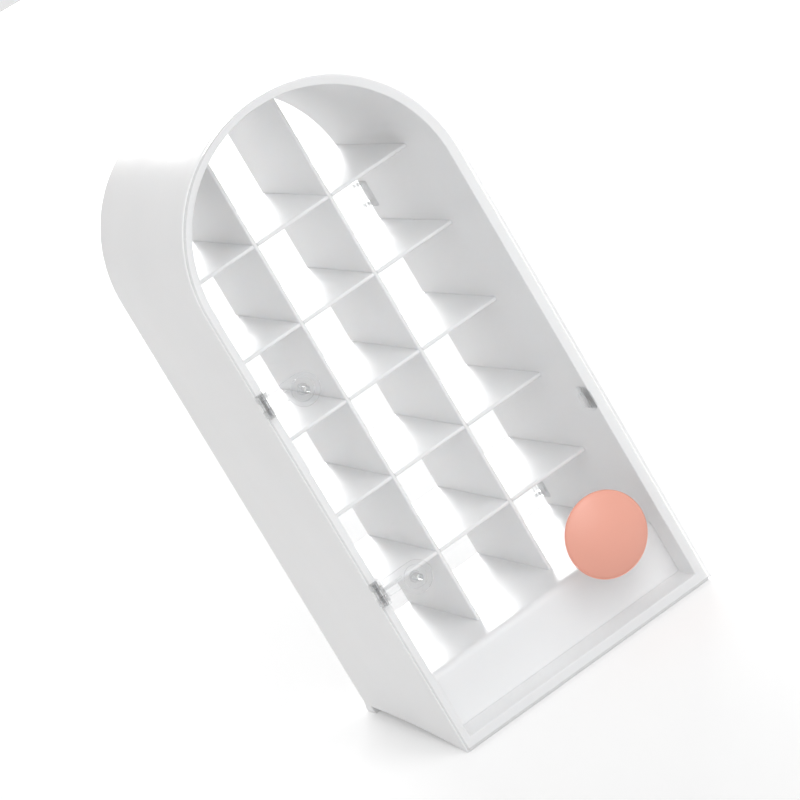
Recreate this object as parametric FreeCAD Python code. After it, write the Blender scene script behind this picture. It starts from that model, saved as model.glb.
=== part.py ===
import FreeCAD, Part
import math
import os

V = FreeCAD.Vector

# Lipstick storage box with a round top, a grid of open cells and a clear front door.
# Millimetres. X runs to the right seen from the front, Y to the back, Z up.
# The origin is on the floor, under the middle of the closed box with its knob.

# Body shell
body_depth = 91.3
front_half_width = 46.85
outer_draft = math.radians(1.62)
inner_draft = math.radians(0.87)
rim_wall = 3.2
bottom_wall = 3.9
side_height = 155.7
rim_bevel = 0.4

# Underside and rear toes
front_land = 3.6
underside_rise = 2.8
underside_crest = 70.0
toe_length = 5.3
toe_overhang = 2.45
toe_width = 6.5
toe_height = 3.9
toe_tip = 0.8

# Plinth, the raised floor under the lowest cells
plinth_setback = 11.85
plinth_top = 22.6
plinth_round = 2.5
plinth_wall = 1.8

# Grid of crossing panels
grid_setback = 30.9
panel_wall = 1.25
panel_round = 0.5
column_pitch = 28.0
row_pitch = 27.8
first_shelf = 47.9
shelf_count = 5
panel_fit = 0.05

# Door
door_sheet = 2.5
rim_gap = 0.98
door_bottom = 1.26
sheet_bevel = 0.3

# Knob and its screw
knob_radius = 13.66
knob_height = 4.2
knob_edge = 0.7
knob_inset = 22.65
knob_z = 32.1
screw_radius = 1.25
screw_grip = 2.4
screw_head_radius = 2.7
screw_head_height = 1.5
screw_slot = 0.7
screw_crown = 0.5
hole_clearance = 0.05

# Hinges
hinge_heights = {"upper": 124.1, "lower": 57.1}
hinge_height = 7.4
tongue_height = 2.8
pin_radius = 0.5
pin_clearance = 0.05
end_play = 0.1
leaf_wall = 0.8
leaf_reach = 8.0
strap_clearance = 0.12
strap_height = 5.6
strap_gap = 0.3
strap_rib = 0.5
boss_reach = 13.1
boss_drop = 2.45
boss_radius = 3.7
boss_wall = 1.6
notch_gap = 0.45
rivet_radius = 1.1
rivet_head_radius = 1.9
rivet_head_height = 0.7
rivet_crown = 0.4

# Catch on the free side of the door
catch_z = 68.8
catch_height = 7.2
catch_width = 2.8
catch_base = 0.9
catch_arm_wall = 1.0
catch_arm_reach = 4.6
catch_bead = 0.5
keeper_wall = 0.6
keeper_reach = 6.2
keeper_setback = 0.5
keeper_ridge = 0.5
keeper_ridge_setback = 2.2
catch_clearance = 0.05

# Rear clips on the right wall
upper_clip_shelf = 4
upper_clip_rise = 10.3
lower_clip_rise = 8.0
clip_spacing = 7.2
clip_eye_radius = 1.2
clip_eye_height = 1.8
clip_pin_radius = 0.7
clip_leaf_wall = 0.8
clip_leaf_reach = 7.0
clip_inset = 0.2

# Places worked out from the sizes above
envelope = knob_height + door_sheet + rim_gap + body_depth + toe_overhang
rim_y = knob_height + door_sheet + rim_gap - envelope / 2
back_y = rim_y + body_depth
door_back = rim_y - rim_gap
door_front = door_back - door_sheet
grid_front = rim_y + grid_setback
grid_middle = (grid_front + back_y) / 2
knuckle_radius = door_sheet / 2
axis_x = -front_half_width + knuckle_radius
axis_y = door_back - knuckle_radius
strap_wall = rim_gap - strap_clearance
knob_x = front_half_width - knob_inset
upper_clip_z = first_shelf + row_pitch * (upper_clip_shelf - 1) + upper_clip_rise
clip_heights = {"upper": upper_clip_z, "lower": plinth_top + lower_clip_rise}
overshoot = 5.0


def outer_half(y):
    """Half width of the outside of the shell at a depth."""
    return front_half_width - (y - rim_y) * math.tan(outer_draft)


def inner_half(y):
    """Half width of the inside of the shell at a depth."""
    return front_half_width - rim_wall - (y - rim_y) * math.tan(inner_draft)


def inner_reach(y, z):
    """Half width of the inside at a depth and a height, under the round top too."""
    half = inner_half(y)
    return math.sqrt(half ** 2 - max(z - side_height, 0) ** 2)


def inner_floor(y):
    """Height of the inside of the bottom wall at a depth."""
    return bottom_wall + (y - rim_y) * math.tan(inner_draft)


def block(x0, x1, y0, y1, z0, z1):
    """A box between two corners."""
    return Part.makeBox(x1 - x0, y1 - y0, z1 - z0, V(x0, y0, z0))


def cylinder(radius, base, direction, length):
    """A round bar from a base point."""
    return Part.makeCylinder(radius, length, base, direction)


def plan_prism(points, z0, z1):
    """A prism whose outline is drawn in plan."""
    corners = [V(x, y, z0) for x, y in points]
    face = Part.Face(Part.makePolygon(corners + corners[:1]))
    return face.extrude(V(0, 0, z1 - z0))


def stadium_prism(x, z, width, height, y0, y1):
    """An upright stadium in the XZ plane, run along Y."""
    r = width / 2
    low = z - height / 2 + r
    high = z + height / 2 - r
    edges = [
        Part.makeLine(V(x + r, y0, low), V(x + r, y0, high)),
        Part.Arc(V(x + r, y0, high), V(x, y0, high + r), V(x - r, y0, high)).toShape(),
        Part.makeLine(V(x - r, y0, high), V(x - r, y0, low)),
        Part.Arc(V(x - r, y0, low), V(x, y0, low - r), V(x + r, y0, low)).toShape(),
    ]
    return Part.Face(Part.Wire(edges)).extrude(V(0, y1 - y0, 0))


def tapered_arch(half0, bottom0, y0, half1, bottom1, y1):
    """A block with a half-round top, whose sides draw in evenly from one depth to another."""
    wedge = Part.makeWedge(-half0, y0, bottom0, bottom1, -half1,
                           half0, y1, side_height, side_height, half1)
    top = Part.makeCone(half1, half0, y1 - y0, V(0, 0, 0), V(0, 0, 1), 180)
    top.rotate(V(0, 0, 0), V(1, 0, 0), 90)
    top.translate(V(0, y1, side_height))
    return wedge.fuse(top).removeSplitter()


def arch_wire(half, bottom, y):
    """Flat bottom, straight sides and a half-round top, in the plane of one depth."""
    edges = [
        Part.makeLine(V(-half, y, bottom), V(half, y, bottom)),
        Part.makeLine(V(half, y, bottom), V(half, y, side_height)),
        Part.Arc(V(half, y, side_height), V(0, y, side_height + half),
                 V(-half, y, side_height)).toShape(),
        Part.makeLine(V(-half, y, side_height), V(-half, y, bottom)),
    ]
    return Part.Wire(edges)


def cavity(inset, y0, y1):
    """The drafted space inside the shell, drawn in by an inset on every side."""
    return tapered_arch(inner_half(y0) - inset, inner_floor(y0) + inset, y0,
                        inner_half(y1) - inset, inner_floor(y1) + inset, y1)


def edges_at(shape, test):
    """The edges whose ends and middle all pass a test."""
    found = []
    for edge in shape.Edges:
        middle = edge.valueAt((edge.FirstParameter + edge.LastParameter) / 2)
        points = [vertex.Point for vertex in edge.Vertexes] + [middle]
        if all(test(point) for point in points):
            found.append(edge)
    return found


def near(a, b):
    """Whether two lengths are the same within a thousandth."""
    return abs(a - b) < 0.001


# Body shell

def underside_relief():
    """The shallow arch under the bottom wall, behind the front land."""
    start = rim_y + front_land
    crest = rim_y + underside_crest
    end = back_y + overshoot
    radius = ((crest - start) ** 2 + underside_rise ** 2) / (2 * underside_rise)
    end_rise = underside_rise - radius + math.sqrt(radius ** 2 - (end - crest) ** 2)
    x = -front_half_width - overshoot
    arc = Part.Arc(V(x, start, 0), V(x, crest, underside_rise), V(x, end, end_rise))
    low = -overshoot
    wire = Part.Wire([
        arc.toShape(),
        Part.makeLine(V(x, end, end_rise), V(x, end, low)),
        Part.makeLine(V(x, end, low), V(x, start, low)),
        Part.makeLine(V(x, start, low), V(x, start, 0)),
    ])
    return Part.Face(wire).extrude(V(-2 * x, 0, 0))


def rear_toe(side):
    """A toe that carries a back corner and slopes away behind the wall."""
    y0 = back_y - toe_length
    y1 = back_y + toe_overhang
    outline = [
        (side * outer_half(y0), y0),
        (side * outer_half(y1), y1),
        (side * (outer_half(y1) - toe_width), y1),
        (side * (outer_half(y0) - toe_width), y0),
    ]
    toe = plan_prism(outline, 0, toe_height)
    x = -front_half_width
    above = Part.makePolygon([
        V(x, back_y, toe_height),
        V(x, y1, toe_tip),
        V(x, y1 + overshoot, toe_tip),
        V(x, back_y, toe_height + overshoot),
        V(x, back_y, toe_height),
    ])
    return toe.cut(Part.Face(above).extrude(V(2 * front_half_width, 0, 0)))


def body_shell():
    """One moulded tube with a round top, a bottom wall and two rear toes."""
    shell = tapered_arch(outer_half(rim_y), 0, rim_y, outer_half(back_y), 0, back_y)
    shell = shell.cut(cavity(0, rim_y - overshoot, back_y + overshoot))
    shell = shell.makeChamfer(rim_bevel, edges_at(shell, lambda p: near(p.y, rim_y)))
    shell = shell.cut(underside_relief())
    for side in (-1, 1):
        shell = shell.fuse(rear_toe(side))
    return shell.removeSplitter()


# Plinth

def plinth_profile(inset, bottom):
    """Side view of the plinth, with a rounded nose, drawn in by an inset."""
    x = -front_half_width
    y0 = rim_y + plinth_setback + inset
    y1 = back_y - inset
    top = plinth_top - inset
    r = max(plinth_round - inset, panel_round)
    turn = r * math.sqrt(0.5)
    nose = Part.Arc(V(x, y0, top - r), V(x, y0 + r - turn, top - r + turn), V(x, y0 + r, top))
    wire = Part.Wire([
        Part.makeLine(V(x, y0, bottom), V(x, y0, top - r)),
        nose.toShape(),
        Part.makeLine(V(x, y0 + r, top), V(x, y1, top)),
        Part.makeLine(V(x, y1, top), V(x, y1, bottom)),
        Part.makeLine(V(x, y1, bottom), V(x, y0, bottom)),
    ])
    return Part.Face(wire).extrude(V(2 * front_half_width, 0, 0))


def plinth():
    """The raised floor: a moulded cover, open underneath, between the shell's walls."""
    y0 = rim_y - overshoot
    y1 = back_y + overshoot
    cover = plinth_profile(0, 0).common(cavity(panel_fit, y0, y1))
    inside = plinth_profile(plinth_wall, -overshoot)
    sides = plan_prism([
        (-inner_half(y0) + plinth_wall, y0),
        (inner_half(y0) - plinth_wall, y0),
        (inner_half(y1) - plinth_wall, y1),
        (-inner_half(y1) + plinth_wall, y1),
    ], -overshoot, side_height)
    return cover.cut(inside.common(sides))


# Grid of crossing panels

def divider_places():
    """The two upright panels, either side of the middle column."""
    return {"left": -column_pitch / 2, "right": column_pitch / 2}


def shelf_places():
    """Mid heights of the level panels, from the lowest."""
    return [first_shelf + row_pitch * row for row in range(shelf_count)]


def rounded_plate(plate):
    """A panel with the two long edges of its front rounded over."""
    length = max(edge.Length for edge in plate.Edges if near(edge.Vertexes[0].Y, grid_front))
    front = edges_at(plate, lambda p: near(p.y, grid_front))
    long_edges = [edge for edge in front if near(edge.Length, length)]
    return plate.makeFillet(panel_round, long_edges)


def shelf(height):
    """A level panel, slotted from its front edge to the middle for the uprights."""
    half = panel_wall / 2
    wide = front_half_width
    plate = block(-wide, wide, grid_front, back_y, height - half, height + half)
    plate = rounded_plate(plate).common(cavity(panel_fit, grid_front - overshoot, back_y + overshoot))
    for x in divider_places().values():
        gap = half + panel_fit
        slot = block(x - gap, x + gap, grid_front - overshoot, grid_middle + panel_fit,
                     height - panel_wall, height + panel_wall)
        plate = plate.cut(slot)
    return plate


def divider(x):
    """An upright panel, slotted from its back edge to the middle for the shelves."""
    half = panel_wall / 2
    top = side_height + front_half_width
    plate = block(x - half, x + half, grid_front, back_y, plinth_top, top)
    plate = rounded_plate(plate).common(cavity(panel_fit, grid_front - overshoot, back_y + overshoot))
    for height in shelf_places():
        gap = half + panel_fit
        slot = block(x - panel_wall, x + panel_wall, grid_middle - panel_fit, back_y + overshoot,
                     height - gap, height + gap)
        plate = plate.cut(slot)
    return plate


# Door

def door_panel():
    """The clear sheet in front of the rim, with hinge notches and fixing holes."""
    outline = Part.Face(arch_wire(front_half_width, door_bottom, door_back))
    sheet = outline.extrude(V(0, -door_sheet, 0))
    rims = edges_at(sheet, lambda p: near(p.y, door_front))
    rims += edges_at(sheet, lambda p: near(p.y, door_back))
    sheet = sheet.makeChamfer(sheet_bevel, rims)
    for height in hinge_heights.values():
        reach = hinge_height / 2 + 2 * end_play
        sheet = sheet.cut(block(-front_half_width - overshoot, axis_x + knuckle_radius + notch_gap,
                                door_front - overshoot, door_back + overshoot,
                                height - reach, height + reach))
        hole = cylinder(rivet_radius + hole_clearance, boss_centre(height, door_front),
                        V(0, 1, 0), door_sheet)
        sheet = sheet.cut(hole)
    hole = cylinder(screw_radius + hole_clearance, V(knob_x, door_front, knob_z),
                    V(0, 1, 0), door_sheet)
    return sheet.cut(hole)


def knob():
    """A round button with a low dome, turned about its own axis."""
    rise = knob_height - knob_edge
    dome_radius = (knob_radius ** 2 + rise ** 2) / (2 * rise)
    half_angle = math.asin(knob_radius / dome_radius) / 2
    dome_middle = V(dome_radius * math.sin(half_angle),
                    -knob_height + dome_radius * (1 - math.cos(half_angle)), 0)
    dome = Part.Arc(V(knob_radius, -knob_edge, 0), dome_middle, V(0, -knob_height, 0))
    profile = Part.Wire([
        Part.makeLine(V(0, 0, 0), V(knob_radius - knob_edge, 0, 0)),
        Part.makeLine(V(knob_radius - knob_edge, 0, 0), V(knob_radius, -knob_edge, 0)),
        dome.toShape(),
        Part.makeLine(V(0, -knob_height, 0), V(0, 0, 0)),
    ])
    button = Part.Face(profile).revolve(V(0, 0, 0), V(0, 1, 0), 360)
    bore = cylinder(screw_radius + hole_clearance, V(0, 0, 0), V(0, -1, 0),
                    screw_grip + 2 * hole_clearance)
    button = button.cut(bore)
    button.translate(V(knob_x, door_front, knob_z))
    return button


def knob_screw():
    """A pan head screw from the inner face of the door into the knob."""
    shank = cylinder(screw_radius, V(knob_x, door_back, knob_z), V(0, -1, 0),
                     door_sheet + screw_grip)
    head = cylinder(screw_head_radius, V(knob_x, door_back, knob_z), V(0, 1, 0),
                    screw_head_height)
    crown = edges_at(head, lambda p: near(p.y, door_back + screw_head_height))
    head = head.makeChamfer(screw_crown, crown)
    reach = 0.7 * screw_head_radius
    slot_floor = door_back + screw_head_height / 2
    top = door_back + screw_head_height
    half = screw_slot / 2
    head = head.cut(block(knob_x - reach, knob_x + reach, slot_floor, top, knob_z - half, knob_z + half))
    head = head.cut(block(knob_x - half, knob_x + half, slot_floor, top, knob_z - reach, knob_z + reach))
    return shank.fuse(head)


# Hinges

def hinge_bore(z):
    """The hole for the hinge pin, through every knuckle."""
    return cylinder(pin_radius + pin_clearance, V(axis_x, axis_y, z - hinge_height),
                    V(0, 0, 1), 2 * hinge_height)


def boss_centre(z, y):
    """The middle of a hinge's boss, below the strap, at a depth."""
    return V(axis_x + boss_reach, y, z - boss_drop)


def hinge_body_leaf(z):
    """Two knuckles and a thin leaf that turns round the rim and lies on the left wall inside."""
    z0 = z - hinge_height / 2
    z1 = z + hinge_height / 2
    end_y = rim_y + leaf_reach
    rim_inside = -inner_half(rim_y)
    end_inside = -inner_half(end_y)
    front = rim_y - leaf_wall
    outline = [
        (-front_half_width, axis_y),
        (axis_x + knuckle_radius, axis_y),
        (axis_x + knuckle_radius, front),
        (rim_inside + leaf_wall, front),
        (end_inside + leaf_wall, end_y),
        (end_inside, end_y),
        (rim_inside, rim_y),
        (-front_half_width, rim_y),
    ]
    leaf = plan_prism(outline, z0, z1)
    leaf = leaf.fuse(cylinder(knuckle_radius, V(axis_x, axis_y, z0), V(0, 0, 1), hinge_height))
    reach = tongue_height / 2 + end_play
    middle = block(-front_half_width - overshoot, rim_inside + overshoot, door_front - overshoot,
                   rim_y + end_play, z - reach, z + reach)
    return leaf.cut(middle).cut(hinge_bore(z)).removeSplitter()


def hinge_door_leaf(z):
    """One knuckle and a ribbed strap that ends in a disc with a round boss."""
    boss_x = axis_x + boss_reach
    strap_back = door_back + strap_wall
    tongue0 = z - tongue_height / 2
    tongue1 = z + tongue_height / 2
    strap_x = -inner_half(rim_y) + leaf_wall + strap_gap
    leaf = cylinder(knuckle_radius, V(axis_x, axis_y, tongue0), V(0, 0, 1), tongue_height)
    web = block(axis_x, axis_x + knuckle_radius, axis_y, strap_back, tongue0, tongue1)
    tongue = block(axis_x, strap_x + strap_gap, door_back, strap_back, tongue0, tongue1)
    strap = block(strap_x, boss_x, door_back, strap_back,
                  z - strap_height / 2, z + strap_height / 2)
    disc = cylinder(boss_drop + strap_height / 2, boss_centre(z, door_back), V(0, 1, 0), strap_wall)
    boss = cylinder(boss_radius, boss_centre(z, door_back), V(0, 1, 0), boss_wall)
    rib = block(strap_x, boss_x - boss_radius, door_back, door_back + boss_wall,
                z - strap_rib / 2, z + strap_rib / 2)
    leaf = leaf.fuse([web, tongue, strap, disc, boss, rib])
    hole = cylinder(rivet_radius + hole_clearance, boss_centre(z, door_front), V(0, 1, 0),
                    door_sheet + boss_wall)
    return leaf.cut(hole).cut(hinge_bore(z)).removeSplitter()


def hinge_pin(z):
    """The pin on the door's axis."""
    return cylinder(pin_radius, V(axis_x, axis_y, z - hinge_height / 2), V(0, 0, 1), hinge_height)


def hinge_rivet(z):
    """A rivet through the sheet and the boss, flush in front, with a domed head behind."""
    shank = cylinder(rivet_radius, boss_centre(z, door_front), V(0, 1, 0), door_sheet + boss_wall)
    head_y = door_back + boss_wall
    head = cylinder(rivet_head_radius, boss_centre(z, head_y), V(0, 1, 0), rivet_head_height)
    crown = edges_at(head, lambda p: near(p.y, head_y + rivet_head_height))
    return shank.fuse(head.makeChamfer(rivet_crown, crown))


# Catch

def keeper_ridge_centre():
    """Plan place of the ridge on the keeper."""
    y = rim_y + keeper_ridge_setback
    return V(inner_half(y) - keeper_wall, y, 0)


def catch_bead_centre():
    """Plan place of the bead, which swings clear of the ridge by the catch clearance."""
    axis = V(axis_x, axis_y, 0)
    swing = keeper_ridge_centre().distanceToPoint(axis) - keeper_ridge - catch_clearance - catch_bead
    y = door_back + catch_arm_reach
    return V(axis_x + math.sqrt(swing ** 2 - (y - axis_y) ** 2), y, 0)


def door_catch():
    """A small base on the door with an arm that reaches into the box and ends in a bead."""
    bead = catch_bead_centre()
    z0 = catch_z - catch_height / 2
    arm_x = bead.x + catch_bead / 4
    base_x = inner_half(rim_y) - catch_width / 2
    base = stadium_prism(base_x, catch_z, catch_width, catch_height, door_back, door_back + catch_base)
    inset = catch_width / 2
    arm = block(arm_x - catch_arm_wall, arm_x, door_back, bead.y, z0 + inset, z0 + catch_height - inset)
    tip = cylinder(catch_bead, V(bead.x, bead.y, z0 + inset), V(0, 0, 1), catch_height - 2 * inset)
    return base.fuse([arm, tip]).removeSplitter()


def catch_keeper():
    """A thin plate on the right wall with a ridge in front of the bead."""
    ridge = keeper_ridge_centre()
    y0 = rim_y + keeper_setback
    y1 = y0 + keeper_reach
    z0 = catch_z - catch_height / 2
    outline = [
        (inner_half(y0), y0),
        (inner_half(y1), y1),
        (inner_half(y1) - keeper_wall, y1),
        (inner_half(y0) - keeper_wall, y0),
    ]
    plate = plan_prism(outline, z0, z0 + catch_height)
    bar = cylinder(keeper_ridge, V(ridge.x, ridge.y, z0), V(0, 0, 1), catch_height)
    wall_side = plan_prism([
        (inner_half(y0), y0),
        (inner_half(y1), y1),
        (inner_half(y1) + overshoot, y1),
        (inner_half(y0) + overshoot, y0),
    ], z0, z0 + catch_height)
    return plate.fuse(bar).cut(wall_side).removeSplitter()


# Rear clips

def clip_reach():
    """Half the height of a rear clip."""
    return (clip_spacing + clip_eye_height) / 2


def clip_axis(z):
    """Plan place of the bar of a rear clip."""
    wall = inner_reach(back_y, z + clip_reach())
    return V(wall - clip_eye_radius - panel_fit, back_y - clip_inset, 0)


def rear_clip(z):
    """A leaf on the right wall's inner face with two eyes at its back edge."""
    axis = clip_axis(z)
    y0 = axis.y - clip_leaf_reach
    reach = clip_reach()
    outline = [
        (inner_half(y0) + overshoot, y0),
        (inner_half(axis.y) + overshoot, axis.y),
        (inner_reach(axis.y, z + reach) - clip_leaf_wall, axis.y),
        (inner_reach(y0, z + reach) - clip_leaf_wall, y0),
    ]
    clip = plan_prism(outline, z - reach, z + reach).common(cavity(panel_fit, grid_front, back_y))
    middle = (clip_spacing - clip_eye_height) / 2
    for side in (-1, 1):
        base = V(axis.x, axis.y, z + side * clip_spacing / 2 - clip_eye_height / 2)
        clip = clip.fuse(cylinder(clip_eye_radius, base, V(0, 0, 1), clip_eye_height))
    window = block(axis.x - overshoot, axis.x + overshoot, axis.y - clip_eye_radius - clip_leaf_wall,
                   axis.y + overshoot, z - middle, z + middle)
    bore = cylinder(clip_pin_radius + pin_clearance, V(axis.x, axis.y, z - clip_spacing),
                    V(0, 0, 1), 2 * clip_spacing)
    return clip.cut(window).cut(bore).removeSplitter()


def rear_clip_pin(z):
    """The bar between the eyes of a rear clip."""
    axis = clip_axis(z)
    return cylinder(clip_pin_radius, V(axis.x, axis.y, z - clip_reach()), V(0, 0, 1), 2 * clip_reach())


def nodes():
    """Every piece by its name."""
    pieces = {"body_shell": body_shell(), "plinth": plinth()}
    for side, x in divider_places().items():
        pieces["divider_" + side] = divider(x)
    for number, height in enumerate(shelf_places(), 1):
        pieces["shelf_" + str(number)] = shelf(height)
    pieces["door_panel"] = door_panel()
    pieces["knob"] = knob()
    pieces["knob_screw"] = knob_screw()
    for place, z in hinge_heights.items():
        pieces[place + "_hinge_body_leaf"] = hinge_body_leaf(z)
        pieces[place + "_hinge_door_leaf"] = hinge_door_leaf(z)
        pieces[place + "_hinge_pin"] = hinge_pin(z)
        pieces[place + "_hinge_rivet"] = hinge_rivet(z)
    pieces["door_catch"] = door_catch()
    pieces["catch_keeper"] = catch_keeper()
    for place, z in clip_heights.items():
        pieces[place + "_rear_clip"] = rear_clip(z)
        pieces[place + "_rear_clip_pin"] = rear_clip_pin(z)
    return pieces


os.makedirs("parts", exist_ok=True)
for name, shape in nodes().items():
    for solid in shape.Solids:
        solid.exportStep(os.path.join("parts", name + ".step"))
    print(name, len(shape.Solids), shape.isValid(), round(shape.Volume, 1))
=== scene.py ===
import math

import bmesh
import bpy
from bpy.props import (
    FloatProperty,
    FloatVectorProperty,
    IntProperty,
    PointerProperty,
)
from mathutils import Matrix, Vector


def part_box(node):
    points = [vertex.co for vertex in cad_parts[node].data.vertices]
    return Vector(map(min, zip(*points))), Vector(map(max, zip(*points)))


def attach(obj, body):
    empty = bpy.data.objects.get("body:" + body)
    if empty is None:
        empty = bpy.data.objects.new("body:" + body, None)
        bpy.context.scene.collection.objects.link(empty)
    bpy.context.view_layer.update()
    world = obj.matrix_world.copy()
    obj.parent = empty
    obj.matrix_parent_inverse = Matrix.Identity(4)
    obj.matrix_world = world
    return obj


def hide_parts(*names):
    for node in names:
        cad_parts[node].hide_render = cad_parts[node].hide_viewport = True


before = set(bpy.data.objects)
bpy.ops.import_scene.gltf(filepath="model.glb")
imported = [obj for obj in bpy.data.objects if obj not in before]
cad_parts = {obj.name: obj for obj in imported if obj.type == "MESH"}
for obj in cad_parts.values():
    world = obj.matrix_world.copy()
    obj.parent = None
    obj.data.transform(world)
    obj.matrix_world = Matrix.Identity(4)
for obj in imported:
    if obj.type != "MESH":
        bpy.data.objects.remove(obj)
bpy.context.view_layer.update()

bl_info = {
    "name": "Lipstick Box",
    "version": (1, 0, 0),
    "blender": (4, 5, 0),
    "location": "3D View > Sidebar > Lipstick Box",
    "description": "Builds a round-topped lipstick box with a panel grid and a clear door",
    "category": "Add Mesh",
}

shell_low, shell_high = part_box("body_shell")
plinth_low, plinth_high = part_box("plinth")
shelf_low, shelf_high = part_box("shelf_1")
next_shelf_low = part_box("shelf_2")[0]
left_low, left_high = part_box("divider_left")
right_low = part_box("divider_right")[0]
door_low, door_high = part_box("door_panel")
knob_low, knob_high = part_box("knob")
screw_low, screw_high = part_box("knob_screw")
leaf_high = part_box("upper_hinge_body_leaf")[1]
pin_low, pin_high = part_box("upper_hinge_pin")
lower_pin_low, lower_pin_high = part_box("lower_hinge_pin")
rivet_low, rivet_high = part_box("upper_hinge_rivet")
catch_low, catch_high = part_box("door_catch")
keeper_low, keeper_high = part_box("catch_keeper")
clip_low, clip_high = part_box("upper_rear_clip")
bar_low, bar_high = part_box("upper_rear_clip_pin")
lower_bar_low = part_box("lower_rear_clip_pin")[0]
SHELVES = ["shelf_1", "shelf_2", "shelf_3", "shelf_4", "shelf_5"]
DIVIDERS = ["divider_left", "divider_right"]

BORE_GAP = 0.00005  # round a pin or a rivet, all round
KNOB_GAP = 0.00002  # keeps the button's back off the sheet's face
PAST = 0.001  # how far a cutter runs past a face
FITTING_ROUND = 0.00012  # edge rounding of the hinge leaves and of the rivets' ends
SMALL_ROUND = 0.0001  # edge rounding of the smaller fittings
STOUT_ROUND = 0.00015  # edge rounding of the toes and of the clips' bars
SHELL_HOLD = 0.001  # from a rounded edge of the wall to the next ring
CORNER_HOLD = 0.0012  # from a bottom corner to the next point of a ring
PLINTH_HOLD = 0.002  # the same on the plinth's top
PLINTH_SKIRT = 0.003  # and on its upright faces
SLOT_LENGTH = 0.4  # a slot cutter taller than the box
SLOT_WIDTH = 0.2  # a slot cutter wider than the box
WINDOW = 0.004  # half the size of the opening between a clip's eyes
PLASTIC_IOR = 1.49
MILK_WHITE = (0.97, 0.97, 0.975, 1)
MIRROR_LIMIT = 0.2  # the most that clear plastic mirrors at a glance
FLOOR_REACH = 8
FLOOR_DEPTH = 0.02
KEY_LAMP = ((-0.1, -2.2, 1.1), 1.6)  # place and size
BACK_LAMP = ((0.65, 2.0, 0.3), 1.0)
TRAY_LAMP = ((0.1, -0.35, 0.35), 0.2)
TRAY_AIM = 0.03  # height
TRAY_SPREAD = math.radians(45)


def length(name, description, default):
    """A size in metres."""
    return FloatProperty(name=name, description=description, default=default, unit="LENGTH", precision=5)


def angle(name, description, degrees):
    """An angle, given in degrees."""
    return FloatProperty(name=name, description=description, default=math.radians(degrees), unit="ROTATION")


def colour(name, description, default):
    """A colour of three parts."""
    return FloatVectorProperty(
        name=name, description=description, default=default, subtype="COLOR", size=3, min=0, max=1
    )


def mid(low, high, axis):
    """The middle between two corners along an axis."""
    return (getattr(low, axis) + getattr(high, axis)) / 2


def share(name, description, default):
    """A number from nought to one."""
    return FloatProperty(name=name, description=description, default=default, subtype="FACTOR", min=0, max=1)


class ShellSizes(bpy.types.PropertyGroup):
    half_width: length("Half width", "Half the width of the rim", door_high.x)
    front: length("Front", "Depth of the rim's front face", shell_low.y)
    back: length("Back", "Depth of the wall's back edge", shelf_high.y)
    side_height: length("Side height", "Height where the round top starts", 0.1557)
    outer_draft: angle("Outer draft", "How the outside draws in towards the back", 1.62)
    inner_draft: angle("Inner draft", "How the inside draws in towards the back", 0.87)
    rim_wall: length("Rim wall", "Wall thickness at the rim", 0.0032)
    bottom_wall: length("Bottom wall", "Thickness of the bottom at the rim", 0.0039)
    edge_round: length("Edge round", "Radius along the rim and the back edge", 0.0004)
    corner_round: length("Corner round", "Radius of the bottom corners", 0.0005)
    land: length("Front land", "Part of the bottom edge that stands on the floor", 0.0036)
    rise: length("Underside rise", "Height of the shallow arch under the bottom", 0.0028)
    crest: length("Underside crest", "Depth of the arch's highest line", 0.07)
    toe_length: length("Toe length", "How far a toe runs in under the wall", 0.0053)
    toe_overhang: length("Toe overhang", "How far a toe stands out behind", shell_high.y - shelf_high.y)
    toe_width: length("Toe width", "Width of a toe", 0.0065)
    toe_height: length("Toe height", "Height of a toe under the wall", 0.0039)
    toe_tip: length("Toe tip", "Height of a toe's back end", 0.0008)
    plinth_front: length("Plinth front", "Depth of the plinth's riser", plinth_low.y)
    plinth_top: length("Plinth top", "Height of the raised floor", plinth_high.z)
    plinth_round: length("Plinth round", "Radius of the plinth's nose", 0.0025)
    plinth_wall: length("Plinth wall", "Wall of the plinth cover", 0.0018)
    fit: length("Fit", "Gap between seated pieces", 0.00005)
    arc_steps: IntProperty(
        name="Arc steps", description="Points round the half-round top", default=72, min=16
    )


class PanelSizes(bpy.types.PropertyGroup):
    front: length("Front", "Depth of the panels' front edges", shelf_low.y)
    wall: length("Panel wall", "Thickness of a panel", left_high.x - left_low.x)
    edge_round: length("Edge round", "Radius of a panel's long edges", 0.00045)
    column_pitch: length("Column pitch", "Between the two uprights", right_low.x - left_low.x)
    first_shelf: length("First shelf", "Mid height of the lowest level panel",
                        mid(shelf_low, shelf_high, "z"))
    row_pitch: length("Row pitch", "Between two level panels", next_shelf_low.z - shelf_low.z)
    rows: IntProperty(name="Rows", description="Number of level panels", default=len(SHELVES), min=1)


class DoorSizes(bpy.types.PropertyGroup):
    front: length("Front", "Depth of the sheet's outer face", door_low.y)
    back: length("Back", "Depth of the sheet's inner face", door_high.y)
    bottom: length("Bottom", "Height of the sheet's bottom edge", door_low.z)
    edge_round: length("Edge round", "Radius of the polished edges", 0.0003)
    knob_x: length("Knob across", "Knob's place across the door", mid(knob_low, knob_high, "x"))
    knob_z: length("Knob height", "Height of the knob's middle", mid(knob_low, knob_high, "z"))
    knob_radius: length("Knob radius", "Radius of the button", (knob_high.x - knob_low.x) / 2)
    knob_depth: length("Knob depth", "How far the button stands out", knob_high.y - knob_low.y)
    knob_edge: length("Knob edge", "Radius of the button's edge", 0.0007)
    screw_hole: length("Screw hole", "Radius of the hole for the knob's screw", 0.0013)


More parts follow.
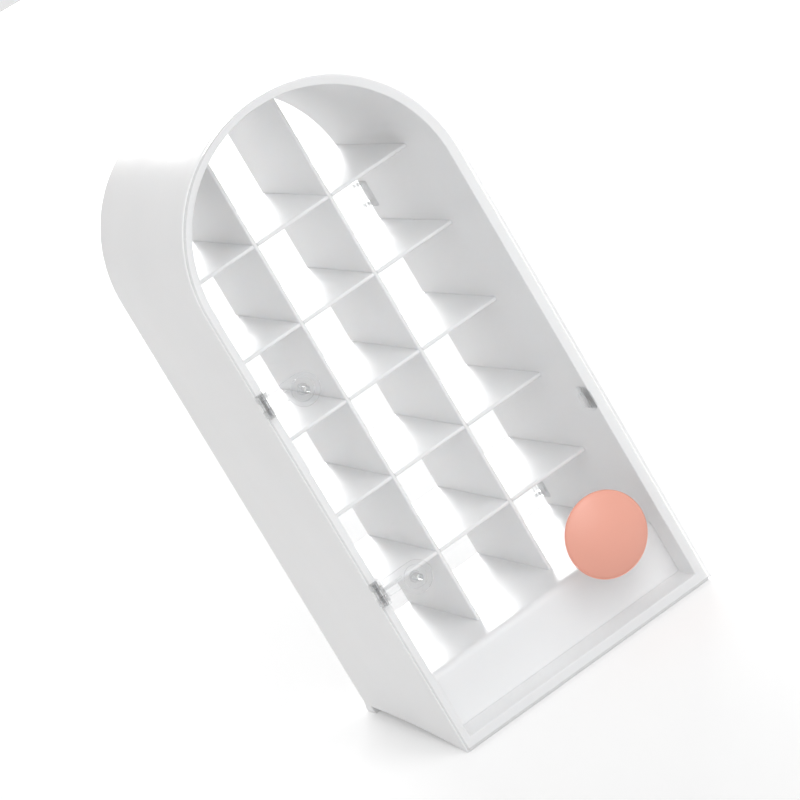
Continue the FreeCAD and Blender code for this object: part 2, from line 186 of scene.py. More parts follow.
class FittingSizes(bpy.types.PropertyGroup):
    axis_x: length("Axis across", "The door's axis across the box", mid(pin_low, pin_high, "x"))
    axis_y: length("Axis depth", "The door's axis in depth", mid(pin_low, pin_high, "y"))
    hinge_height: length("Hinge height", "Height of a hinge", pin_high.z - pin_low.z)
    upper_hinge: length("Upper hinge", "Mid height of the upper hinge", mid(pin_low, pin_high, "z"))
    lower_hinge: length("Lower hinge", "Mid height of the lower hinge",
                        mid(lower_pin_low, lower_pin_high, "z"))
    knuckle: length("Knuckle radius", "Radius of a hinge knuckle", (door_high.y - door_low.y) / 2)
    pin: length("Pin radius", "Radius of a hinge pin", (pin_high.x - pin_low.x) / 2)
    play: length("Play", "Gap between two knuckles", 0.0001)
    tongue: length("Tongue height", "Height of the door's knuckle", 0.0028)
    leaf_wall: length("Leaf wall", "Thickness of the leaf on the shell", 0.0008)
    strap_height: length("Strap height", "Height of the strap on the sheet", 0.0056)
    strap_back: length("Strap back", "Depth of the strap's inner face", door_high.y + 0.00086)
    strap_gap: length("Strap gap", "Between the wall leaf and the strap", 0.0003)
    boss_x: length("Boss across", "Place of the round boss", mid(rivet_low, rivet_high, "x"))
    boss_drop: length("Boss drop", "The boss's middle below the strap's",
                      (pin_low.z + pin_high.z - rivet_low.z - rivet_high.z) / 2)
    boss_radius: length("Boss radius", "Radius of the round boss", 0.0037)
    boss_wall: length("Boss wall", "Thickness of the boss and of the strap's rib", 0.0016)
    rib: length("Strap rib", "Width of the raised line along the strap", 0.0005)
    rivet: length("Rivet radius", "Radius of the rivet's shank", 0.0011)
    rivet_head: length("Rivet head", "Radius of the rivet's head", (rivet_high.x - rivet_low.x) / 2)
    notch: length("Notch gap", "Between a knuckle and the sheet", 0.00045)
    catch_width: length("Catch width", "Width of the catch's base", 0.0028)
    catch_base: length("Catch base", "Thickness of the catch's base", 0.0009)
    catch_arm: length("Catch arm", "Thickness of the catch's arm", 0.001)
    catch_bead: length("Catch bead", "Radius of the bead and of the keeper's ridge", 0.0005)
    keeper_wall: length("Keeper wall", "Thickness of the keeper plate", 0.0006)
    ridge_set: length("Ridge setback", "The keeper's ridge behind the rim", 0.0022)
    eye: length("Eye radius", "Radius of a rear clip's eye", 0.0012)
    eye_height: length("Eye height", "Height of a rear clip's eye", 0.0018)
    bar: length("Bar radius", "Radius of a rear clip's bar", (bar_high.x - bar_low.x) / 2)
    clip_leaf: length("Clip leaf", "Thickness of a rear clip's leaf", 0.0008)


class Finishes(bpy.types.PropertyGroup):
    shell: colour("Shell", "White of the moulded shell", (0.97, 0.97, 0.972))
    plinth: colour("Plinth", "White of the raised floor", (0.985, 0.985, 0.987))
    panels: colour("Panels", "White of the thin panels", (0.985, 0.985, 0.987))
    knob: colour("Knob", "Coral of the button", (0.82, 0.388, 0.3))
    steel: colour("Steel", "Plated steel of the knob's screw", (0.72, 0.72, 0.73))
    clear: colour("Clear", "Tint of the clear plastic", (0.993, 0.995, 0.997))
    gloss: share("Shell roughness", "Roughness of the satin white plastic", 0.42)
    knob_gloss: share("Knob roughness", "Roughness of the satin button", 0.38)
    milk: share("Fitting milk", "How much the clear fittings show as white", 0.005)


class StageSettings(bpy.types.PropertyGroup):
    camera_place: FloatVectorProperty(
        name="Camera place", description="Where the camera stands", default=(-0.36533, -1.29215, 0.41807),
        subtype="TRANSLATION", size=3, precision=5,
    )
    camera_turn: FloatVectorProperty(
        name="Camera turn", description="How the camera is turned", subtype="EULER", size=3,
        default=(math.radians(74.1969), math.radians(29.8017), math.radians(-23.94085)),
    )
    camera_lens: FloatProperty(
        name="Lens", description="Focal length in millimetres", default=202.14, unit="CAMERA"
    )
    sky: FloatProperty(name="Sky", description="Level of the even light from all round", default=0.71, min=0)
    key: FloatProperty(
        name="Key lamp", description="Power of the large front lamp", default=14.0, unit="POWER"
    )
    tray: FloatProperty(
        name="Tray lamp", description="Power of the small lamp over the tray", default=0.035, unit="POWER"
    )
    back: FloatProperty(name="Back lamp", description="Power of the lamp behind", default=50.0, unit="POWER")
    floor: share("Floor", "Grey of the floor for the light that it throws back", 0.8)
    floor_seen: share("Floor seen", "Grey of the floor for the camera", 0.97)
    floor_lift: share("Floor lift", "What the camera sees added to the floor", 0.1)


# Materials

def material_tree(name):
    """A material with its empty tree and its output node."""
    material = bpy.data.materials.new(name)
    material.use_nodes = True
    tree = material.node_tree
    tree.nodes.clear()
    output = tree.nodes.new("ShaderNodeOutputMaterial")
    return material, tree, output


def wire(tree, source, target):
    """Link a socket to an input, or set the input to a plain value."""
    if isinstance(source, bpy.types.NodeSocket):
        tree.links.new(source, target)
    else:
        target.default_value = source


def add_node(tree, kind, inputs=None, **settings):
    """A node with its settings, and its inputs linked to sockets or set to values."""
    node = tree.nodes.new(kind)
    for name, value in settings.items():
        setattr(node, name, value)
    for key, value in (inputs or {}).items():
        wire(tree, value, node.inputs[key])
    return node


def noise(tree, place, scale, detail=2.0, stretch=(1, 1, 1)):
    """A noise factor on the piece's own coordinates."""
    mapping = add_node(tree, "ShaderNodeMapping", {"Vector": place.outputs["Object"], "Scale": stretch})
    inputs = {"Vector": mapping.outputs["Vector"], "Scale": scale, "Detail": detail}
    return add_node(tree, "ShaderNodeTexNoise", inputs).outputs["Fac"]


def spread(tree, factor, low, high, start=0.3, end=0.7):
    """A factor carried to a range of numbers."""
    inputs = {"Value": factor, "From Min": start, "From Max": end, "To Min": low, "To Max": high}
    return add_node(tree, "ShaderNodeMapRange", inputs).outputs["Result"]


def tinted(tree, factor, first, second):
    """A colour between two, by a factor."""
    inputs = {"Factor": factor, 6: (*first, 1), 7: (*second, 1)}
    return add_node(tree, "ShaderNodeMix", inputs, data_type="RGBA").outputs[2]


def fine_bump(tree, factor, depth, strength):
    """A bump from a factor, with its depth in metres."""
    inputs = {"Height": factor, "Strength": strength, "Distance": depth}
    return add_node(tree, "ShaderNodeBump", inputs).outputs["Normal"]


def moulded_plastic(name, base, roughness, glow, grain=2600.0):
    """Satin moulded plastic: faint clouds of shade, uneven gloss and a fine grain."""
    material, tree, output = material_tree(name)
    place = add_node(tree, "ShaderNodeTexCoord")
    clouds = noise(tree, place, 28.0, 3.0)
    streaks = noise(tree, place, 90.0, 2.0, (1, 1, 0.25))
    pores = noise(tree, place, grain, 2.0)
    shade = tuple(0.965 * part for part in base)
    shader = add_node(tree, "ShaderNodeBsdfPrincipled", {
        "Base Color": tinted(tree, spread(tree, clouds, 0.0, 1.0), base, shade),
        "Roughness": spread(tree, streaks, roughness - 0.05, roughness + 0.06),
        "Normal": fine_bump(tree, pores, 0.00002, 0.35),
        "IOR": PLASTIC_IOR,
        "Subsurface Weight": glow,
        "Subsurface Radius": (1.0, 0.85, 0.75),
        "Subsurface Scale": 0.0015,
    })
    tree.links.new(shader.outputs[0], output.inputs["Surface"])
    return material


def clear_plastic(name, tint, milk, rim_shade, edge_milk, edge_shade):
    """Clear plastic: seen through, glossy, milky on its narrow edges, with painted shade on those edges and
    at a glance in place of refraction.
    """
    material, tree, output = material_tree(name)
    place = add_node(tree, "ShaderNodeTexCoord")
    turn = parts_of(tree, place.outputs["Normal"])
    edge = spread(tree, calc(tree, "ABSOLUTE", turn["Y"]), 1.0, 0.0, 0.55, 0.95)
    glance = add_node(tree, "ShaderNodeLayerWeight", {"Blend": 0.35})
    # Painted shade: the see-through colour is darker at a glance and on the narrow edges, standing in for
    # refraction
    painted_glance_shade = tuple(rim_shade * part for part in tint)
    inner = tinted(tree, spread(tree, glance.outputs["Facing"], 0.0, 1.0, 0.45, 1.0), tint, painted_glance_shade)
    painted_edge_shade = (*(edge_shade * part for part in tint), 1)
    sides = add_node(tree, "ShaderNodeMix", {"Factor": edge, 6: inner, 7: painted_edge_shade}, data_type="RGBA")
    through = add_node(tree, "ShaderNodeBsdfTransparent", {"Color": sides.outputs[2]})
    body = add_node(tree, "ShaderNodeBsdfPrincipled", {"Base Color": MILK_WHITE, "Roughness": 0.25})
    cloudy = spread(tree, noise(tree, place, 60.0, 2.0), 0.9 * milk, 1.1 * milk)
    lift = add_node(tree, "ShaderNodeMath", {0: edge, 1: edge_milk, 2: cloudy},
                    operation="MULTIPLY_ADD", use_clamp=True)
    veil = add_node(tree, "ShaderNodeMixShader",
                    {0: lift.outputs[0], 1: through.outputs[0], 2: body.outputs[0]})
    wear = fine_bump(tree, noise(tree, place, 400.0, 2.0), 0.00001, 0.08)
    gloss = add_node(tree, "ShaderNodeBsdfGlossy", {"Normal": wear, "Roughness": 0.04})
    bounce = add_node(tree, "ShaderNodeFresnel", {"IOR": PLASTIC_IOR})
    mirror = calc(tree, "MINIMUM", bounce.outputs[0], MIRROR_LIMIT)
    mix = add_node(tree, "ShaderNodeMixShader", {0: mirror, 1: veil.outputs[0], 2: gloss.outputs[0]})
    tree.links.new(mix.outputs[0], output.inputs["Surface"])
    return material


def plated_steel(name, base):
    """Plated steel with duller spots and small scratches."""
    material, tree, output = material_tree(name)
    place = add_node(tree, "ShaderNodeTexCoord")
    dull = noise(tree, place, 900.0, 3.0)
    scratches = noise(tree, place, 1500.0, 2.0, (1, 1, 8))
    shade = tuple(0.86 * part for part in base)
    shader = add_node(tree, "ShaderNodeBsdfPrincipled", {
        "Metallic": 1.0,
        "Base Color": tinted(tree, spread(tree, dull, 0.0, 1.0), base, shade),
        "Roughness": spread(tree, dull, 0.22, 0.36),
        "Normal": fine_bump(tree, scratches, 0.00001, 0.3),
    })
    tree.links.new(shader.outputs[0], output.inputs["Surface"])
    return material


def finish_named(slot):
    """The finish of one of the box's slots, made once, under a name of its own."""
    name = slot + "_finish"
    if name in bpy.data.materials:
        return bpy.data.materials[name]
    finishes = bpy.context.scene.box_finishes
    moulded = {
        "shell_white": (finishes.shell, finishes.gloss, 0.12),
        "plinth_white": (finishes.plinth, finishes.gloss, 0.12),
        "panel_white": (finishes.panels, finishes.gloss, 0.2),
        "coral_knob": (finishes.knob, finishes.knob_gloss, 0.15, 2200.0),
    }
    clear = {
        "clear_sheet": {"milk": 0.003, "rim_shade": 0.98, "edge_milk": 0.03, "edge_shade": 0.88},
        "clear_fitting": {"milk": finishes.milk, "rim_shade": 0.95, "edge_milk": 0.12, "edge_shade": 0.97},
    }
    if slot in moulded:
        return moulded_plastic(name, *moulded[slot])
    if slot in clear:
        return clear_plastic(name, finishes.clear, **clear[slot])
    if slot == "screw_steel":
        return plated_steel(name, finishes.steel)
    raise RuntimeError("there is no finish for the slot " + slot)


# Meshes

def linked_object(name, mesh):
    """A new object in the scene, at the origin."""
    obj = bpy.data.objects.new(name, mesh)
    bpy.context.scene.collection.objects.link(obj)
    return obj


def settle(obj):
    """Turn an object's modifiers into its plain mesh."""
    graph = bpy.context.evaluated_depsgraph_get()
    graph.update()
    mesh = bpy.data.meshes.new_from_object(obj.evaluated_get(graph), depsgraph=graph)
    old = obj.data
    obj.modifiers.clear()
    obj.data = mesh
    mesh.name = obj.name
    bpy.data.meshes.remove(old)
    return obj


def check_closed(obj):
    """Stop if a piece's mesh has an open or a doubled edge."""
    bm = bmesh.new()
    bm.from_mesh(obj.data)
    loose = [edge for edge in bm.edges if len(edge.link_faces) != 2]
    volume = bm.calc_volume(signed=True)
    bm.free()
    if loose or volume <= 0:
        raise RuntimeError("%s has %d open edges and volume %g" % (obj.name, len(loose), volume))


def place_piece(obj, body, finish, nodes):
    """Check that a finished piece is closed, give it its material and its body, and hide the nodes that it
    stands for.
    """
    check_closed(obj)
    material = finish_named(finish)
    obj.data.materials.clear()
    obj.data.materials.append(material)
    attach(obj, body)
    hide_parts(*nodes)
    return obj


def smooth(mesh, degrees=35.0):
    """Smooth shading with sharp edges where faces meet at more than an angle."""
    mesh.shade_smooth()
    mesh.set_sharp_from_angle(angle=math.radians(degrees))


def mesh_from(name, bm):
    """A mesh from a bmesh, with doubles merged and faces turned outwards."""
    bmesh.ops.remove_doubles(bm, verts=bm.verts, dist=1e-7)
    bmesh.ops.recalc_face_normals(bm, faces=bm.faces)
    mesh = bpy.data.meshes.new(name)
    bm.to_mesh(mesh)
    bm.free()
    return mesh


def ring_surface(rings, closed=False):
    """Quads between rings of equal count. A closed surface joins its last ring to its first."""
    bm = bmesh.new()
    verts = [[bm.verts.new(point) for point in ring] for ring in rings]
    count = len(rings)
    for k in range(count if closed else count - 1):
        first = verts[k]
        second = verts[(k + 1) % count]
        for j in range(len(first)):
            i = (j + 1) % len(first)
            bm.faces.new((first[j], first[i], second[i], second[j]))
    if not closed:
        bm.faces.new(verts[0])
        bm.faces.new(verts[-1])
    return bm


def prism(outline, z0, z1):
    """A prism from a plan outline."""
    return ring_surface([[(x, y, z0) for x, y in outline], [(x, y, z1) for x, y in outline]])


def block(x0, x1, y0, y1, z0, z1):
    """A box between two corners."""
    return prism([(x0, y0), (x1, y0), (x1, y1), (x0, y1)], z0, z1)


def circle_points(across, up, radius, steps=40):
    """Points round a circle."""
    turn = [2 * math.pi * k / steps for k in range(steps)]
    return [(across + radius * math.cos(a), up + radius * math.sin(a)) for a in turn]


def upright_bar(x, y, radius, z0, z1, steps=32):
    """A round bar that stands upright."""
    return prism(circle_points(x, y, radius, steps), z0, z1)


def standing(outline, y0, y1):
    """A solid from front to back, from an outline across and up."""
    return ring_surface([[(x, y, z) for x, z in outline] for y in (y0, y1)])


def deep_bar(x, z, radius, y0, y1, steps=40):
    """A round bar that lies from front to back."""
    return standing(circle_points(x, z, radius, steps), y0, y1)


def merged(parts):
    """Several bmeshes in one."""
    whole = bmesh.new()
    for part in parts:
        mesh = bpy.data.meshes.new("part")
        part.to_mesh(mesh)
        part.free()
        whole.from_mesh(mesh)
        bpy.data.meshes.remove(mesh)
    return whole


def carved(name, solids, cuts=(), rounding=0.0, degrees=40.0):
    """One closed piece from overlapping solids, less some cuts, with its edges rounded."""
    obj = linked_object(name, mesh_from(name, solids[0]))
    helpers = []
    for operation, parts in (("UNION", solids[1:]), ("DIFFERENCE", cuts)):
        for part in parts:
            helper = linked_object(name + "_part", mesh_from(name + "_part", part))
            helpers.append(helper)
            step = obj.modifiers.new(operation.lower(), "BOOLEAN")
            step.operation = operation
            step.solver = "EXACT"
            step.object = helper
    if helpers:
        settle(obj)
    for helper in helpers:
        bpy.data.meshes.remove(helper.data)
    bm = bmesh.new()
    bm.from_mesh(obj.data)
    bmesh.ops.remove_doubles(bm, verts=bm.verts, dist=2e-6)
    bmesh.ops.dissolve_limit(bm, angle_limit=math.radians(0.5), verts=bm.verts, edges=bm.edges)
    bm.to_mesh(obj.data)
    bm.free()
    smooth(obj.data, degrees)
    if rounding:
        soften(obj, rounding, degrees)
    return obj


def soften(obj, width, degrees=40.0, segments=3):
    """Round an object's sharp edges, and keep its flat faces flat in the light."""
    bevel = obj.modifiers.new("rounding", "BEVEL")
    bevel.width = width
    bevel.segments = segments
    bevel.limit_method = "ANGLE"
    bevel.angle_limit = math.radians(degrees)
    bevel.use_clamp_overlap = True
    bevel.harden_normals = True
    return settle(obj)


# Geometry Nodes

def geometry_tree(name, inputs):
    """A node group that takes and gives geometry, with named inputs."""
    tree = bpy.data.node_groups.new(name, "GeometryNodeTree")
    face = tree.interface
    face.new_socket(name="Geometry", in_out="OUTPUT", socket_type="NodeSocketGeometry")
    face.new_socket(name="Geometry", in_out="INPUT", socket_type="NodeSocketGeometry")
    kinds = {"float": "NodeSocketFloat", "int": "NodeSocketInt", "vector": "NodeSocketVector",
             "material": "NodeSocketMaterial"}
    for label, kind in inputs.items():
        face.new_socket(name=label, in_out="INPUT", socket_type=kinds[kind])
    given = tree.nodes.new("NodeGroupInput")
    result = tree.nodes.new("NodeGroupOutput")
    return tree, given.outputs, result


def calc(tree, operation, a, b=0.0):
    """The result of one sum on sockets or numbers."""
    return add_node(tree, "ShaderNodeMath", {0: a, 1: b}, operation=operation).outputs[0]


def triple(tree, x, y, z):
    """A vector from three sockets or numbers."""
    return add_node(tree, "ShaderNodeCombineXYZ", {0: x, 1: y, 2: z}).outputs[0]


def parts_of(tree, vector):
    """The three parts of a vector socket."""
    return add_node(tree, "ShaderNodeSeparateXYZ", {0: vector}).outputs


def point_parts(tree):
    """The three parts of each point's place."""
    return parts_of(tree, add_node(tree, "GeometryNodeInputPosition").outputs[0])


def moved(tree, geometry, position):
    """Geometry with its points set to new places."""
    inputs = {"Geometry": geometry, "Position": position}
    return add_node(tree, "GeometryNodeSetPosition", inputs).outputs["Geometry"]


def on_line(tree, shape, count, start, offset):
    """Copies of a shape on the points of a straight row, made real."""
    inputs = {"Count": count, "Start Location": start, "Offset": offset}
    row = add_node(tree, "GeometryNodeMeshLine", inputs)
    inputs = {"Points": row.outputs[0], "Instance": shape}
    copies = add_node(tree, "GeometryNodeInstanceOnPoints", inputs)
    return add_node(tree, "GeometryNodeRealizeInstances", {0: copies.outputs[0]}).outputs[0]


def finish_tree(tree, geometry, material, result):
    """End a tree in real geometry with its material."""
    real = add_node(tree, "GeometryNodeRealizeInstances", {0: geometry})
    inputs = {"Geometry": real.outputs[0], "Material": material}
    paint = add_node(tree, "GeometryNodeSetMaterial", inputs)
    tree.links.new(paint.outputs[0], result.inputs[0])


def plate_tree(tree, given, low, high, steps):
    """A thin plate with rounded long edges: wall along X, depth along Y, length along Z."""
    depth = calc(tree, "SUBTRACT", given["Back"], given["Front"])
    inputs = {"Width": given["Wall"], "Height": depth}
    outline = add_node(tree, "GeometryNodeCurvePrimitiveQuadrilateral", inputs)
    inputs = {"Curve": outline.outputs[0], "Count": 5, "Radius": given["Edge Round"]}
    rounded = add_node(tree, "GeometryNodeFilletCurve", inputs, mode="POLY")
    inputs = {"Start": (0, 0, low), "End": (0, 0, high)}
    line = add_node(tree, "GeometryNodeCurvePrimitiveLine", inputs)
    inputs = {"Curve": line.outputs[0], "Count": steps}
    stations = add_node(tree, "GeometryNodeResampleCurve", inputs)
    inputs = {"Curve": stations.outputs[0], "Profile Curve": rounded.outputs[0], "Fill Caps": True}
    sweep = add_node(tree, "GeometryNodeCurveToMesh", inputs)
    middle = calc(tree, "MULTIPLY", calc(tree, "ADD", given["Back"], given["Front"]), 0.5)
    x, y, z = point_parts(tree)
    return moved(tree, sweep.outputs[0], triple(tree, x, calc(tree, "ADD", y, middle), z))


def inside_half(tree, given, y):
    """Half width of the shell's inside at a depth."""
    behind = calc(tree, "SUBTRACT", y, given["Rim"])
    drawn = calc(tree, "MULTIPLY", behind, given["Taper"])
    return calc(tree, "SUBTRACT", given["Inside Half"], drawn)


def round_reach(tree, half, away):
    """How far a circle of a half width reaches, at a distance from its middle."""
    square = calc(tree, "SUBTRACT", calc(tree, "MULTIPLY", half, half), calc(tree, "MULTIPLY", away, away))
    return calc(tree, "SQRT", calc(tree, "MAXIMUM", square, 0.0))


def cut_tree(tree, geometry, cutter):
    """Geometry less a cutter."""
    inputs = {"Mesh 1": geometry, "Mesh 2": cutter}
    kind = "GeometryNodeMeshBoolean"
    return add_node(tree, kind, inputs, operation="DIFFERENCE", solver="EXACT").outputs[0]


PANEL_INPUTS = {
    "Wall": "float", "Edge Round": "float", "Front": "float", "Back": "float", "Rim": "float",
    "Inside Half": "float", "Taper": "float", "Side Height": "float", "Plinth Top": "float",
    "Column Pitch": "float", "First Shelf": "float", "Row Pitch": "float", "Rows": "int",
    "Slot Gap": "float", "Material": "material",
}


def slot_box(tree, width, depth, height):
    """A box for cutting slots."""
    size = triple(tree, width, depth, height)
    return add_node(tree, "GeometryNodeMeshCube", {"Size": size}).outputs["Mesh"]


def shelf_tree():
    """Level panels, one above another, trimmed to the shell and slotted from the front."""
    tree, given, result = geometry_tree("level_panels", PANEL_INPUTS)
    plate = plate_tree(tree, given, -1.0, 1.0, 33)
    x, y, z = point_parts(tree)
    level = moved(tree, plate, triple(tree, z, y, calc(tree, "MULTIPLY", x, -1.0)))
    rows = on_line(tree, level, given["Rows"], triple(tree, 0.0, 0.0, given["First Shelf"]),
                   triple(tree, 0.0, 0.0, given["Row Pitch"]))
    x, y, z = point_parts(tree)
    above = calc(tree, "MAXIMUM", calc(tree, "SUBTRACT", z, given["Side Height"]), 0.0)
    reach = round_reach(tree, inside_half(tree, given, y), above)
    trimmed = moved(tree, rows, triple(tree, calc(tree, "MULTIPLY", x, reach), y, z))
    depth = calc(tree, "SUBTRACT", given["Back"], given["Front"])
    width = calc(tree, "ADD", given["Wall"], calc(tree, "MULTIPLY", given["Slot Gap"], 2.0))
    slot = slot_box(tree, width, calc(tree, "ADD", depth, given["Slot Gap"]), SLOT_LENGTH)
    left = calc(tree, "MULTIPLY", given["Column Pitch"], -0.5)
    slots = on_line(tree, slot, 2, triple(tree, left, given["Front"], 0.1),
                    triple(tree, given["Column Pitch"], 0.0, 0.0))
    finish_tree(tree, cut_tree(tree, trimmed, slots), given["Material"], result)
    return tree


def divider_tree():
    """Upright panels side by side, trimmed to the round top and slotted from the back."""
    tree, given, result = geometry_tree("upright_panels", PANEL_INPUTS)
    plate = plate_tree(tree, given, 0.0, 1.0, 2)
    left = calc(tree, "MULTIPLY", given["Column Pitch"], -0.5)
    pair = on_line(tree, plate, 2, triple(tree, left, 0.0, 0.0),
                   triple(tree, given["Column Pitch"], 0.0, 0.0))
    x, y, z = point_parts(tree)
    top = calc(tree, "ADD", given["Side Height"], round_reach(tree, inside_half(tree, given, y), x))
    rise = calc(tree, "MULTIPLY", z, calc(tree, "SUBTRACT", top, given["Plinth Top"]))
    stood = moved(tree, pair, triple(tree, x, y, calc(tree, "ADD", given["Plinth Top"], rise)))
    depth = calc(tree, "SUBTRACT", given["Back"], given["Front"])
    height = calc(tree, "ADD", given["Wall"], calc(tree, "MULTIPLY", given["Slot Gap"], 2.0))
    slot = slot_box(tree, SLOT_WIDTH, calc(tree, "ADD", depth, given["Slot Gap"]), height)
    slots = on_line(tree, slot, given["Rows"], triple(tree, 0.0, given["Back"], given["First Shelf"]),
                    triple(tree, 0.0, 0.0, given["Row Pitch"]))
    finish_tree(tree, cut_tree(tree, stood, slots), given["Material"], result)
    return tree


def repeat_tree():
    """One fitting repeated at the points of an upright row."""
    tree, given, result = geometry_tree("fittings_in_a_row", {
        "Count": "int", "Step": "vector", "Material": "material",
    })
    row = on_line(tree, given["Geometry"], given["Count"], (0, 0, 0), given["Step"])
    finish_tree(tree, row, given["Material"], result)
    return tree


def run_tree(obj, tree, values):
    """Run a tree on an object with its inputs set by identifier, and keep the plain mesh."""
    modifier = obj.modifiers.new(tree.name, "NODES")
    modifier.node_group = tree
    for item in tree.interface.items_tree:
        if item.in_out == "INPUT" and item.name in values:
            modifier[item.identifier] = values[item.name]
    return settle(obj)


def repeated(obj, steps, drop, finish):
    """The fitting and its copies below it, each a step lower than the last."""
    tree = bpy.data.node_groups.get("fittings_in_a_row") or repeat_tree()
    return run_tree(obj, tree, {"Count": steps, "Step": (0.0, 0.0, -drop), "Material": finish_named(finish)})


def place_pair(obj, drop, body, kind):
    """Repeat a clear fitting once below itself and place both."""
    repeated(obj, 2, drop, "clear_fitting")
    return place_piece(obj, body, "clear_fitting", ["upper_" + kind, "lower_" + kind])


# Shell

def outer_half(y):
    """Half width of the outside at a depth."""
    sizes = bpy.context.scene.box_shell
    return sizes.half_width - (y - sizes.front) * math.tan(sizes.outer_draft)


def inner_half(y):
    """Half width of the inside at a depth."""
    sizes = bpy.context.scene.box_shell
    return sizes.half_width - sizes.rim_wall - (y - sizes.front) * math.tan(sizes.inner_draft)


def inner_floor(y):
    """Height of the bottom wall's upper face at a depth."""
    sizes = bpy.context.scene.box_shell
    return sizes.bottom_wall + (y - sizes.front) * math.tan(sizes.inner_draft)


def underside(y):
    """Height of the bottom wall's lower face at a depth: a shallow arch behind the land."""
    sizes = bpy.context.scene.box_shell
    run = sizes.crest - sizes.land
    away = y - sizes.front - sizes.crest
    if away < -run:
        return 0.0
    radius = (run ** 2 + sizes.rise ** 2) / (2 * sizes.rise)
    return sizes.rise - radius + math.sqrt(radius ** 2 - away ** 2)


def evenly(start, end, count):
    """Numbers from start to end with even steps."""
    return [start + (end - start) * k / (count - 1) for k in range(count)]


def arch_ring(half, bottom, y, corner):
    """Once round the arch at a depth, from the middle of the bottom, with small corners."""
    sizes = bpy.context.scene.box_shell
    side = sizes.side_height
    right = [(x, bottom) for x in evenly(0, half - corner - CORNER_HOLD, 7)]
    for a in evenly(-math.pi / 2, 0, 5):
        right.append((half - corner + corner * math.cos(a), bottom + corner + corner * math.sin(a)))
    right += [(half, z) for z in evenly(bottom + corner + CORNER_HOLD, side, 12)]
    for a in evenly(0, math.pi / 2, sizes.arc_steps // 2 + 1)[1:]:
        right.append((half * math.cos(a), side + half * math.sin(a)))
    left = [(-x, z) for x, z in reversed(right[1:-1])]
    return [(x, y, z) for x, z in right + left]


def edge_rings(half, bottom, edge, into, side, angles):
    """Rings round one rounded edge of the wall: into the depth, and out or in at the side."""
    sizes = bpy.context.scene.box_shell
    r = sizes.edge_round
    rings = []
    for a in angles:
        away = side * r * (1 - math.cos(a))
        y = edge + into * r * (1 - math.sin(a))
        rings.append(arch_ring(half + away, bottom - away, y, sizes.corner_round))
    return rings


def shell_rings():
    """The wall's section as rings: outside, rim, inside and back edge."""
    sizes = bpy.context.scene.box_shell
    r = sizes.edge_round
    front = sizes.front
    back = sizes.back
    corner = sizes.corner_round
    quarter = evenly(0, math.pi / 2, 5)
    depths = [back - r] + evenly(back - r - SHELL_HOLD, front + sizes.land, 22)
    depths += [front + sizes.land - 0.0005, front + r + SHELL_HOLD]
    rings = [arch_ring(outer_half(y), underside(y), y, corner) for y in depths]
    rings += edge_rings(outer_half(front), 0.0, front, 1, -1, quarter)
    rings += edge_rings(inner_half(front), inner_floor(front), front, 1, 1, reversed(quarter))
    depths = [front + r + SHELL_HOLD] + evenly(front + 0.004, back - r - SHELL_HOLD, 20) + [back - r]
    rings += [arch_ring(inner_half(y), inner_floor(y), y, corner) for y in depths]
    rings += edge_rings(inner_half(back), inner_floor(back), back, -1, 1, quarter[1:])
    rings += edge_rings(outer_half(back), underside(back), back, -1, -1, reversed(quarter[1:]))
    return rings


def toe_mesh(side):
    """A wedge that carries a back corner and slopes away behind the wall."""
    sizes = bpy.context.scene.box_shell
    back = sizes.back
    high = sizes.toe_height
    y0 = back - sizes.toe_length
    y1 = back + sizes.toe_overhang
    profile = [(y0, 0.0), (back, 0.0), (y1, 0.0), (y1, sizes.toe_tip), (back, high), (y0, high)]
    outer = [(side * (outer_half(y) - sizes.fit), y, z) for y, z in profile]
    inner = [(side * (outer_half(y) - sizes.toe_width), y, z) for y, z in profile]
    return ring_surface([outer, inner])


# Door

def door_outline():
    """The sheet's outline with a notch for each hinge, as points across and up."""
    shell = bpy.context.scene.box_shell
    door = bpy.context.scene.box_door
    fit = bpy.context.scene.box_fittings
    half = shell.half_width
    side = shell.side_height
    points = [(-half, door.bottom), (half, door.bottom), (half, side)]
    for a in evenly(0, math.pi, shell.arc_steps + 1)[1:]:
        points.append((half * math.cos(a), side + half * math.sin(a)))
    inside = fit.axis_x + fit.knuckle + fit.notch
    reach = fit.hinge_height / 2 + 2 * fit.play
    for z in (fit.upper_hinge, fit.lower_hinge):
        points += [(-half, z + reach), (inside, z + reach), (inside, z - reach), (-half, z - reach)]
    return points


def drawn_in(points, inset):
    """A closed outline moved inwards by an inset, its corners kept sharp."""
    result = []
    for k in range(len(points)):
        here = Vector(points[k])
        before = (here - Vector(points[k - 1])).normalized()
        after = (Vector(points[(k + 1) % len(points)]) - here).normalized()
        first = Vector((-before.y, before.x))
        second = Vector((-after.y, after.x))
        result.append(here + (first + second) * inset / (1 + first.dot(second)))
    return result


def loop_at(bm, points, y):
    """New points of a closed loop at one depth."""
    return [bm.verts.new((x, y, z)) for x, z in points]


def joined(bm, first, second):
    """Quads between two loops of equal count."""
    for k in range(len(first)):
        bm.faces.new((first[k - 1], first[k], second[k], second[k - 1]))


def loop_edges(bm, loop):
    """The edges along a closed loop."""
    return [bm.edges.get((loop[k - 1], loop[k])) for k in range(len(loop))]


